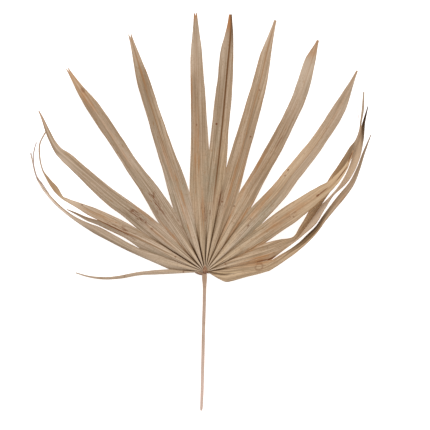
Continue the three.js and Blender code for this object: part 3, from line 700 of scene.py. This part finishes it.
def half_lines(segment, index, side):
    """Rib, edge and facing of one half, row by row from the root circle to the tip, and each row's share
    of the free part, which is negative where the fan is pleated."""
    left_valley, right_valley = valley_line(index), valley_line(index + 1)
    halves = open_halves if "fold" in segment else folded_halves
    inner, outer, facing = halves(segment, left_valley[-1], right_valley[-1])[side]
    valley = left_valley if side == "left" else right_valley
    upward = np.tile([0.0, 0.0, 1.0], (PLEATED_ROWS + 1, 1))
    return (
        np.vstack([ridge_line(segment), inner[1:]]),
        np.vstack([valley, outer[1:]]),
        np.vstack([upward, facing[1:]]),
        np.concatenate([PLEATED_SHARES - 1, np.linspace(0, 1, len(inner))[1:]]),
    )


def valley_sharpness(free):
    """How sharply a half bends down to its valley."""
    return np.where(
        free < 0,
        VALLEY_SHARPNESS + (FORK_SHARPNESS - VALLEY_SHARPNESS) * (free + 1),
        FORK_SHARPNESS + (1 - FORK_SHARPNESS) * smoothstep(*PLEAT_END, free),
    )


def rib_relief(segment, free):
    """Height along the rib of an open segment, negative in a crease, and its width."""
    height = segment.get("ridge", RIB_HEIGHT) if "fold" in segment else 0
    ends = smoothstep(*RIB_START, free) * (1 - smoothstep(*RIB_END, free))
    return height * ends, RIB_WIDTH if height >= 0 else CREASE_WIDTH


def tip_gap(segment, free):
    """The share of a half that has come away from the rib at a split tip."""
    split = segment.get("split")
    if split is None:
        return np.zeros_like(free)
    return SPLIT_GAP * np.clip((free - split) / (SPLIT_END - split), 0, 1)


def slit_lines(segment, fork, reach, free, width):
    """Strength and half width of the painted shade in the valley at a half's edge, and strength of the
    painted shade along its rib.
    """
    slit_reach, slit_strength = SLITS[fork]
    slit_shade = slit_strength * (1 - smoothstep(*SLIT_FADE, reach / slit_reach)) * (free < 0)
    breadth = FAINT_SLIT_WIDTH + (1 - FAINT_SLIT_WIDTH) * slit_strength
    slit_width = np.minimum(SLIT_HALF_WIDTH * breadth, SLIT_SHARE * width)
    crease_reach, crease_strength = segment.get("crease", (1, 0))
    crease = crease_strength * (1 - smoothstep(*CREASE_FADE, reach / crease_reach))
    return slit_shade, slit_width, crease


def half_points(segment, index, side, draw):
    """Columns of points of one half of a segment, from left to right, with what its finish reads."""
    rib, edge, facing, free = half_lines(segment, index, side)
    steps = np.linalg.norm(np.diff(rib, axis=0), axis=1)
    reach = ROOT_RADIUS + np.concatenate([[0], steps.cumsum()])
    width = np.maximum(np.linalg.norm(edge - rib, axis=1), LEAST_HALF_WIDTH * (free > 0))
    across = unit(edge - rib) * width[:, None]
    drop = np.sum(across * facing, axis=1)
    level = across - facing * drop[:, None]
    sideways = unit(level)
    sharpness = valley_sharpness(free)
    wave = EDGE_WAVE * edge_wave(draw, free) * (free > 0) * np.minimum(width / WAVE_FULL_WIDTH, 1)
    lift = EDGE_LIFT * edge_wave(draw, free) * (free > 0) * np.minimum(width / LIFT_FULL_WIDTH, 1)
    cup = CUP_DEPTH * smoothstep(*CUP_START, free) * np.minimum(width / LIFT_FULL_WIDTH, 1)
    ridge, ridge_width = rib_relief(segment, free)
    gap = tip_gap(segment, free)
    fork = index if side == "left" else index + 1
    slit_along, slit_width, crease_along = slit_lines(segment, fork, reach, free, width)
    looks = (of_half(segment.get(name, 0), side) for name in ("warmth", "browning", "shade", "char_and_shadow"))
    warmth, browning, shade, char_and_shadow = (spread(look, free) for look in looks)
    brown = browning * smoothstep(segment["brown_from"], 1, free)
    sign = -1 if side == "left" else 1
    columns = []
    for column in COLUMNS[::sign]:
        share = gap + (1 - gap) * column
        from_rib, from_edge = share * width, (1 - share) * width
        rise = ridge * np.exp(-((from_rib / ridge_width) ** 2)) + cup * np.sin(np.pi * share)
        height = drop * share**sharpness + rise + lift * share**2
        point = rib + level * share[:, None] + facing * height[:, None]
        point = point + sideways * (wave * share**2)[:, None]
        point[:, 2] = np.maximum(point[:, 2], SHEET_THICKNESS)
        # Painted shade in the valley at the half's edge near the hub, and along the rib near the hub
        slit_shade = slit_along * np.exp(-((from_edge / slit_width) ** 4))
        crease = crease_along * np.exp(-((from_rib / SLIT_HALF_WIDTH) ** 2))
        columns.append(dict(
            point=point,
            place=stacked(sign * from_rib, reach, index),
            wear_and_slit_shade=stacked(from_edge, brown, np.maximum(slit_shade, crease)),
            tone=stacked(warmth, free, segment["rib_show"]),
            grey_shade_and_margin=stacked(segment["grey"], shade, char_and_shadow),
            stain=stacked(*(marked(point, places) for places in (STAINS, GREY_PATCHES, SCUFFS))),
        ))
    return columns


def blade_half(segment, index, side, draw):
    columns = half_points(segment, index, side, draw)
    piece, column, row = grid_piece("half", len(columns) - 1, len(columns[0]["point"]) - 1)
    for name in columns[0]:
        values = np.stack([each[name] for each in columns])[column, row]
        if name == "point":
            lay_points(piece, values)
        else:
            corner_attribute(piece, name, values)
    return piece


def fan_blade():
    draw = random.Random(WAVE_SEED)
    halves = []
    for index, segment in enumerate(SEGMENTS):
        for side in ("left", "right"):
            halves.append(blade_half(segment, index, side, draw))
    blade = join_pieces(halves, "leaf_fan")
    weld(blade)
    thicken = blade.modifiers.new("thickness", "SOLIDIFY")
    thicken.thickness = SHEET_THICKNESS * MM
    thicken.offset = -1
    activate(blade)
    bpy.ops.object.modifier_apply(modifier=thicken.name)
    smooth(blade, BLADE_SMOOTH_ANGLE)
    return blade


def fan_rims():
    """The thick dark lips where the fan's outer edges meet the stalk."""
    pieces = []
    for centre, half_size, turn in RIMS:
        piece, points = ball_piece("rim", RIM_SEGMENTS, RIM_RINGS)
        lay_points(piece, turned(points * half_size, turn) + centre)
        pieces.append(piece)
    rims = join_pieces(pieces, "fan_rims")
    smooth(rims)
    return rims


def loose_threads():
    """Round threads that are thin at the root, thickest a little further out, and taper from there."""
    pieces = []
    share = np.linspace(0, 1, THREAD_ROWS + 1)
    thickness = THREAD_ROOT + (1 - THREAD_ROOT) * smoothstep(0, THREAD_FULL_FROM, share)
    thickness = thickness * (1 - THREAD_THINNING * share)
    for route, radius in THREADS:
        line = route_points(route, share)
        ahead = unit(np.gradient(line, axis=0))
        beside = unit(np.cross([0, 0, 1], ahead))
        above = np.cross(ahead, beside)
        piece, angle, row = tube_piece("thread", THREAD_SIDES, THREAD_ROWS)
        ring = beside[row] * np.cos(angle)[:, None] + above[row] * np.sin(angle)[:, None]
        lay_points(piece, line[row] + ring * (radius * thickness)[row, None])
        weld(piece, close_ends=True)
        pieces.append(piece)
    threads = join_pieces(pieces, "loose_threads")
    smooth(threads)
    return threads


# Stalk

def leaf_stalk():
    rings = np.array(STALK_RINGS)
    y = np.linspace(rings[0, 1], rings[-1, 1], STALK_ROWS + 1)
    x, half, under, top = (np.interp(y, rings[:, 1], rings[:, column]) for column in (0, 2, 3, 4))
    piece, angle, row = tube_piece("leaf_stalk", STALK_SIDES, STALK_ROWS)
    groove = 1
    for count, depth, twist in STALK_GROOVES:
        groove = groove + depth * np.sin(count * angle + twist * y[row])
    points = np.column_stack([
        x[row] + half[row] * groove * np.sin(angle),
        y[row],
        (under + top)[row] / 2 - (top - under)[row] / 2 * groove * np.cos(angle),
    ])
    points[:, 2] = np.maximum(points[:, 2], 0)
    lay_points(piece, points)
    weld(piece, close_ends=True)
    smooth(piece)
    return piece


def stalk_crest():
    """A drop whose narrow end runs out between the pleats."""
    piece, points = ball_piece("stalk_crest", CREST_SEGMENTS, CREST_RINGS)
    narrowing = 1 - CREST_TAPER * smoothstep(CREST_TAPER_FROM, 1.0, points[:, 1])
    ribbing = 1 + CREST_RIB_DEPTH * np.sin(CREST_RIBS * np.arctan2(points[:, 0], points[:, 2]))
    points[:, 0] *= narrowing * ribbing
    points[:, 2] *= narrowing * ribbing
    lay_points(piece, points * CREST_HALF_SIZE + CREST_CENTRE)
    smooth(piece)
    return piece


# Shader expressions

def operator(operation, reflected=False):
    """A method that adds a Math node."""
    def method(self, other=0.0):
        first, second = (other, self) if reflected else (self, other)
        return self.finish.node("ShaderNodeMath", {"operation": operation}, {0: first, 1: second})
    return method


class Sock:
    """A shader socket that can be used in Python arithmetic."""

    def __init__(self, finish, socket):
        self.finish = finish
        self.socket = socket

    __add__ = operator("ADD")
    __radd__ = operator("ADD", reflected=True)
    __sub__ = operator("SUBTRACT")
    __rsub__ = operator("SUBTRACT", reflected=True)
    __mul__ = operator("MULTIPLY")
    __rmul__ = operator("MULTIPLY", reflected=True)
    __truediv__ = operator("DIVIDE")
    __rtruediv__ = operator("DIVIDE", reflected=True)
    __neg__ = operator("SUBTRACT", reflected=True)
    __abs__ = operator("ABSOLUTE")


class Finish:
    """A procedural material and its nodes."""

    def __init__(self, name, base):
        self.material = bpy.data.materials.new(name)
        self.material.use_nodes = True
        self.nodes = self.material.node_tree.nodes
        self.links = self.material.node_tree.links
        self.shader = self.nodes["Principled BSDF"]
        self.base = base
        self.object_place = self.node("ShaderNodeTexCoord", {}, {}, "Object")

    def connect(self, socket, value):
        if isinstance(value, Sock):
            self.links.new(value.socket, socket)
        else:
            socket.default_value = value

    def node(self, kind, settings, inputs, output=0):
        """One output of a new node, or a list of them for a list of names or numbers."""
        node = self.nodes.new(kind)
        for name, value in settings.items():
            setattr(node, name, value)
        for name, value in inputs.items():
            self.connect(node.inputs[name], value)
        if isinstance(output, list):
            return [Sock(self, node.outputs[each]) for each in output]
        return Sock(self, node.outputs[output])

    def attribute(self, name):
        """The three parts of a vector that is stored on the mesh."""
        return self.parts(self.node("ShaderNodeAttribute", {"attribute_name": name}, {}, "Vector"))

    def parts(self, vector):
        return self.node("ShaderNodeSeparateXYZ", {}, {0: vector}, [0, 1, 2])

    def vector(self, x, y, z):
        return self.node("ShaderNodeCombineXYZ", {}, {0: x, 1: y, 2: z})

    def noise(self, scale, detail=3, roughness=0.6, vector=None):
        place = vector or self.object_place
        inputs = {"Vector": place, "Scale": scale, "Detail": detail, "Roughness": roughness}
        return self.node("ShaderNodeTexNoise", {}, inputs, "Fac")

    def ease(self, value, low, high, start=0, end=1):
        """From start at low to end at high, smoothly."""
        inputs = {"Value": value, "From Min": low, "From Max": high, "To Min": start, "To Max": end}
        return self.node("ShaderNodeMapRange", {"interpolation_type": "SMOOTHSTEP"}, inputs)

    def fade(self, value, low, high):
        """1 at low and 0 at high, smoothly."""
        return self.ease(value, low, high, 1, 0)

    def mix(self, first, second, factor):
        inputs = {0: factor, 6: first, 7: second}
        return self.node("ShaderNodeMix", {"data_type": "RGBA", "clamp_factor": True}, inputs, 2)

    def coat(self, over, factor):
        """Lays a colour over the base colour."""
        self.base = self.mix(self.base, over, factor)

    def set(self, **inputs):
        """Sets sockets of the shader, with their names' spaces written as underscores."""
        for name, value in inputs.items():
            self.connect(self.shader.inputs[name.replace("_", " ")], value)

    def bump(self, height, strength, distance):
        inputs = {"Strength": strength, "Distance": distance, "Height": height}
        self.set(Normal=self.node("ShaderNodeBump", {}, inputs))


def colour(red, green, blue):
    """A colour given as 0 to 255, as a screen shows it."""
    def linear(value):
        share = value / 255
        return share / 12.92 if share <= 0.04045 else ((share + 0.055) / 1.055) ** 2.4
    return (linear(red), linear(green), linear(blue), 1)


KHAKI = colour(176, 151, 127)
WARM_TAN = colour(190, 152, 114)
GREY_GREEN = colour(164, 149, 125)
COOL_TAN = colour(171, 153, 133)
PALE = colour(204, 181, 158)
WARM_PALE = colour(212, 182, 146)
BRIGHT = colour(236, 216, 200)
WARM_RIDGE_HIGHLIGHT = colour(228, 196, 150)
DULL_BROWN = colour(141, 116, 89)
SHADED_BROWN = colour(108, 80, 52)
OCHRE_BROWN = colour(134, 98, 54)
RIB_BROWN = colour(154, 106, 62)
CREASE_SHADE_BROWN = colour(114, 80, 50)
EDGE_AND_SHADE_BROWN = colour(150, 108, 64)
TIP_BROWN = colour(168, 116, 74)
STAIN_BROWN = colour(176, 118, 66)
SCAR_AND_SHADOW_BROWN = colour(112, 62, 28)
CHAR_AND_SHADOW_BROWN = colour(58, 36, 14)
SLIT_SHADE_BROWN = colour(60, 32, 2)

STALK_TAN = colour(186, 158, 138)
STALK_PALE = colour(202, 174, 154)
STALK_PINK = colour(220, 190, 176)
STALK_LIGHT = colour(214, 188, 164)
STALK_DARK = colour(150, 116, 88)
STALK_SPOT = colour(150, 112, 80)
COLLAR_BROWN = colour(168, 134, 104)

CREST_BROWN = colour(140, 98, 70)
CREST_TAN = colour(178, 138, 104)
CREST_DARK = colour(92, 54, 34)
CREST_FOOT = colour(100, 56, 38)
RIM_BROWN = colour(106, 76, 60)
RIM_TAN = colour(162, 128, 98)
THREAD_PALE = colour(190, 168, 160)
THREAD_TAN = colour(170, 138, 116)

FLOOR_GREY = colour(220, 220, 220)
WHITE = (1, 1, 1, 1)


def scars_and_shadow_lines(f, wander):
    """How strongly each point is scarred or darkened by a painted shadow line, with edges that wander."""
    total = 0
    for x, y, half_length, half_width, turn, strength in SCARS_AND_SHADOW_LINES:
        place = {
            "Vector": f.object_place,
            "Location": (HUB[0] + x * MM, HUB[1] + y * MM, 0),
            "Rotation": (0, 0, math.radians(turn)),
            "Scale": (half_length * MM, half_width * MM, 1),
        }
        local = f.node("ShaderNodeMapping", {"vector_type": "TEXTURE"}, place)
        away = f.node("ShaderNodeVectorMath", {"operation": "LENGTH"}, {0: local}, "Value")
        total = total + f.fade(away + wander, 1 - SHARP_MARK_SOFTNESS, 1 + SHARP_MARK_SOFTNESS) * strength
    return total


def specks(f, scale, rarity):
    """Small dots in a few of the cells of a random pattern."""
    cells = {"Vector": f.object_place, "Scale": scale}
    near, cell_colour = f.node("ShaderNodeTexVoronoi", {}, cells, ["Distance", "Color"])
    pick, size, _ = f.parts(cell_colour)
    return f.fade(near, 0.06, 0.16) * f.ease(pick, rarity, rarity + 0.02) * (0.4 + size * 0.6)


def dried_blade():
    f = Finish("dried_blade", KHAKI)
    offset, reach, number = f.attribute("place")
    margin, browning, slit_shade = f.attribute("wear_and_slit_shade")
    warmth, free, rib_show = f.attribute("tone")
    grey, shade, char_and_shadow = f.attribute("grey_shade_and_margin")
    stained, greyed, scuffed = f.attribute("stain")
    from_rib = abs(offset)
    across = from_rib / (from_rib + margin + 0.01)

    def lines(crowding, breaks, seed, detail, roughness=0.5):
        """Noise that is drawn out along the segments, and differs from one to the next."""
        return f.noise(1, detail, roughness, f.vector(offset * crowding, reach * breaks, number * seed))

    streaks = lines(0.42, 0.009, 7.3, 3, 0.55)
    veins = lines(1.15, 0.02, 3.1, 2)
    dashes = lines(0.7, 0.07, 5.7, 3, 0.6)
    flecks = lines(1.1, 0.12, 2.3, 2)
    strokes = lines(0.62, 0.13, 4.1, 1)
    patches = f.noise(22, roughness=0.5)
    clouds = f.noise(80, 4)
    grain = f.noise(450)
    crumbs = f.noise(700, 3, 0.7)

    # Ground colour of each segment
    f.coat(WARM_TAN, warmth * 0.75 + (patches - 0.5) * 1.4 + (dashes - 0.5) * 1.2)
    f.coat(COOL_TAN, -warmth)
    # A pale colour for pale streaks and for painted light, and a dark one for painted shade
    light = f.mix(PALE, WARM_PALE, f.ease(warmth, 0.2, 1.2))
    dark = f.mix(SHADED_BROWN, OCHRE_BROWN, f.ease(warmth, 0.6, 1.2))

    # Grey clouds; near the hub, painted highlights on the pleat ridges and painted shade in the valleys
    clouded = f.ease(clouds * 0.5 + patches * 0.5, 0.4, 0.62) * grey * (0.6 + f.fade(reach, 50, 160))
    f.coat(GREY_GREEN, clouded)
    f.coat(GREY_GREEN, greyed * f.ease(clouds, 0.3, 0.55))
    # Painted highlights on the pleat ridges near the hub
    f.coat(light, f.fade(across, 0.2, 0.8) * f.fade(reach, 25, 130) * 0.75)
    f.coat(WARM_RIDGE_HIGHLIGHT, f.fade(across, 0.1, 0.6) * f.fade(reach, 14, 75) * 0.7)
    # Painted shade in the valleys between the pleats near the hub
    f.coat(EDGE_AND_SHADE_BROWN, f.ease(across, 0.55, 1) * f.fade(reach, 25, 100) * 0.5)

    # Light and dark lines, stains and grain
    lined = 1.4 - f.ease(reach, 20, 120) * 0.4 - f.ease(free, 0.1, 0.7) * 0.3
    f.coat(light, f.ease(streaks, 0.5, 0.66) * lined * 0.65)
    f.coat(DULL_BROWN, f.fade(streaks, 0.36, 0.5) * lined * 0.65)
    f.coat(light, f.ease(veins, 0.5, 0.66) * lined * 0.6)
    f.coat(DULL_BROWN, f.fade(veins, 0.34, 0.5) * lined * 0.6)
    f.coat(EDGE_AND_SHADE_BROWN, f.ease(dashes, 0.6, 0.74) * 0.45)
    f.coat(EDGE_AND_SHADE_BROWN, f.ease(flecks, 0.61, 0.73) * f.ease(clouds + patches, 0.75, 1.05) * 0.9)
    f.coat(STAIN_BROWN, stained * f.ease(dashes, 0.3, 0.6) * 1.2)
    f.coat(DULL_BROWN, f.fade(grain, 0.3, 0.5) * 0.35)

    # Painted light and shade: lighter where shade is positive, brightest above 1, darker where negative
    f.coat(light, f.ease(shade, 0, 1) * 0.9)
    f.coat(BRIGHT, f.ease(shade, 1, 2))
    f.coat(dark, f.fade(shade, -1, 0))

    # Ribs: brown or pale; painted shade in a creased rib, and painted highlights on the ribs of the pleats
    outward = f.ease(free + dashes * 0.5, -0.5, 0.3)
    brown_rib = f.fade(from_rib, 0.3, 1.6) * f.ease(rib_show, 0, 1) * outward * (0.6 + dashes * 0.6)
    f.coat(RIB_BROWN, brown_rib)
    # Painted shade in the creased rib
    f.coat(CREASE_SHADE_BROWN, f.fade(from_rib, 0.5, 1.7) * f.ease(rib_show, 0.85, 1) * outward)
    pale_rib = f.ease(-rib_show, 0, 1)
    beside_rib = f.ease(from_rib, 0.8, 2) * f.fade(from_rib, 2.4, 4.6)
    f.coat(DULL_BROWN, beside_rib * pale_rib * 0.7)
    f.coat(PALE, f.fade(from_rib, 0.3, 1.3) * pale_rib)
    # Painted highlight on the ribs where the fan is pleated
    f.coat(PALE, f.fade(from_rib, 0.2, 1) * f.fade(free, -0.75, -0.15) * 0.55)

    # Brown edges and tips, a dark margin that is partly painted shadow, specks, scars and painted shadow
    # lines, and painted shade in the slits between the pleats
    edge_line = f.fade(margin, 0.15, 1.1) * f.ease(free, -0.02, 0.04)
    f.coat(EDGE_AND_SHADE_BROWN, edge_line * f.ease(clouds + patches, 0.85, 1.15) * 0.9)
    f.coat(TIP_BROWN, f.ease(browning + (dashes - 0.5) * 0.5, 0.1, 0.8))
    # Dark margins: partly the blade's own dark edges, partly painted shadow along folded and turned edges
    f.coat(CHAR_AND_SHADOW_BROWN, char_and_shadow * (0.7 + dashes * 0.5) * f.fade(margin - char_and_shadow * 1.6, 1.2, 3.2))
    f.coat(SCAR_AND_SHADOW_BROWN, specks(f, 95, 0.86) * 0.8)
    f.coat(EDGE_AND_SHADE_BROWN, specks(f, 170, 0.7) * 0.6)
    f.coat(SCAR_AND_SHADOW_BROWN, scuffed * f.ease(strokes, 0.53, 0.6) * 0.9)
    # Scars, and painted shadow lines under folded edges
    f.coat(SCAR_AND_SHADOW_BROWN, scars_and_shadow_lines(f, (crumbs - 0.5) * SHARP_MARK_WANDER))
    # A warm brown rim and painted shade in the slits between the pleats near the hub
    f.coat(EDGE_AND_SHADE_BROWN, f.ease(slit_shade, 0.05, 0.5) * 0.4)
    f.coat(SLIT_SHADE_BROWN, slit_shade * (1.1 + dashes * 0.3))
    f.set(Base_Color=f.base, Roughness=0.58 + clouds * 0.25, Specular_IOR_Level=0.15)
    f.bump(veins * 0.7 + streaks * 0.6 + grain * 0.3, 0.45, 0.0005)
    return f.material


def dried_stalk():
    f = Finish("dried_stalk", STALK_TAN)
    x, y, z = f.parts(f.object_place)
    up = (y - HUB[1]) / MM
    grain = f.noise(1, vector=f.vector(x * 900, y * 22, z * 900))
    patches = f.noise(45, roughness=0.5)
    spots = f.noise(320)
    f.coat(STALK_PALE, f.ease(patches, 0.35, 0.65))
    f.coat(STALK_PINK, f.fade(up, *PINK_FOOT) * 0.8)
    f.coat(COLLAR_BROWN, f.ease(up, *BROWN_COLLAR) * (0.4 + patches * 0.6))
    f.coat(STALK_DARK, f.fade(grain, 0.32, 0.5) * 0.55)
    f.coat(STALK_LIGHT, f.ease(grain, 0.55, 0.75) * 0.4)
    f.coat(STALK_SPOT, f.ease(spots, 0.58, 0.75) * 0.4)
    f.set(Base_Color=f.base, Roughness=0.5 + grain * 0.2)
    f.bump(grain + spots * 0.5, 0.4, 0.0004)
    return f.material


def brown_crest():
    f = Finish("brown_crest", CREST_BROWN)
    x, y, z = f.parts(f.object_place)
    fibres = f.noise(1, vector=f.vector(x * 1100, y * 160, z * 500))
    blotches = f.noise(420)
    f.coat(CREST_TAN, f.ease(blotches, 0.4, 0.62))
    f.coat(CREST_DARK, f.fade(fibres, 0.34, 0.54) * 0.8)
    foot = HUB[1] + (CREST_CENTRE[1] - CREST_HALF_SIZE[1]) * MM
    f.coat(CREST_FOOT, f.fade(y, foot, foot + CREST_FOOT_LENGTH * MM) * (0.4 + blotches * 0.6))
    f.set(Base_Color=f.base, Roughness=0.6 + fibres * 0.2)
    f.bump(fibres + blotches, 0.5, 0.0005)
    return f.material


def dark_rim():
    f = Finish("dark_rim", RIM_BROWN)
    blotches = f.noise(500)
    f.coat(RIM_TAN, f.ease(blotches, 0.36, 0.6))
    f.set(Base_Color=f.base, Roughness=0.6 + blotches * 0.2)
    f.bump(blotches, 0.4, 0.0004)
    return f.material


def pale_thread():
    f = Finish("pale_thread", THREAD_PALE)
    blotches = f.noise(120)
    f.coat(THREAD_TAN, f.ease(blotches, 0.42, 0.6))
    f.set(Base_Color=f.base, Roughness=0.6 + blotches * 0.2)
    return f.material


# Floor, light and camera

def pale_floor():
    deselect_all()
    bpy.ops.mesh.primitive_plane_add(size=FLOOR_SIZE, location=(0, 0, -FLOOR_DROP))
    floor = bpy.context.object
    floor.name = "floor"
    f = Finish("pale_floor", FLOOR_GREY)
    f.set(Base_Color=f.base, Roughness=0.8, Emission_Color=WHITE, Emission_Strength=FLOOR_GLOW)
    floor.data.materials.append(f.material)


def soft_light():
    world = bpy.data.worlds.new("studio")
    world.use_nodes = True
    background = world.node_tree.nodes["Background"]
    background.inputs["Color"].default_value = WHITE
    background.inputs["Strength"].default_value = SKY_STRENGTH
    bpy.context.scene.world = world
    bpy.ops.object.light_add(type="AREA", location=KEY_PLACE)
    key = bpy.context.object
    key.data.size = KEY_SIZE
    key.data.energy = KEY_POWER
    aim = Vector(KEY_AIM) - key.location
    key.rotation_euler = aim.to_track_quat("-Z", "Y").to_euler()
    view = bpy.context.scene.view_settings
    view.view_transform = "Standard"
    view.look = "None"


def overhead_camera():
    camera = bpy.data.cameras.new("camera")
    camera.lens = LENS
    camera.sensor_width = SENSOR
    rig = bpy.data.objects.new("camera", camera)
    bpy.context.collection.objects.link(rig)
    middle = HUB + np.array([*FIELD_MIDDLE, 0]) * MM
    rig.location = (middle[0], middle[1], (FIELD * LENS / SENSOR + FIELD_HEIGHT) * MM)
    camera.clip_end = FAR_CLIP
    bpy.context.scene.camera = rig


def dress(piece, node, material):
    """Gives a piece its finish and puts it in the place of a solid."""
    piece.data.materials.append(material)
    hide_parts(node)
    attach(piece, "root")


overhead_camera()
soft_light()
pale_floor()

dress(fan_blade(), "fan_blade", dried_blade())
dress(fan_rims(), "fan_blade", dark_rim())
dress(loose_threads(), "fan_blade", pale_thread())
dress(leaf_stalk(), "petiole", dried_stalk())
dress(stalk_crest(), "petiole", brown_crest())
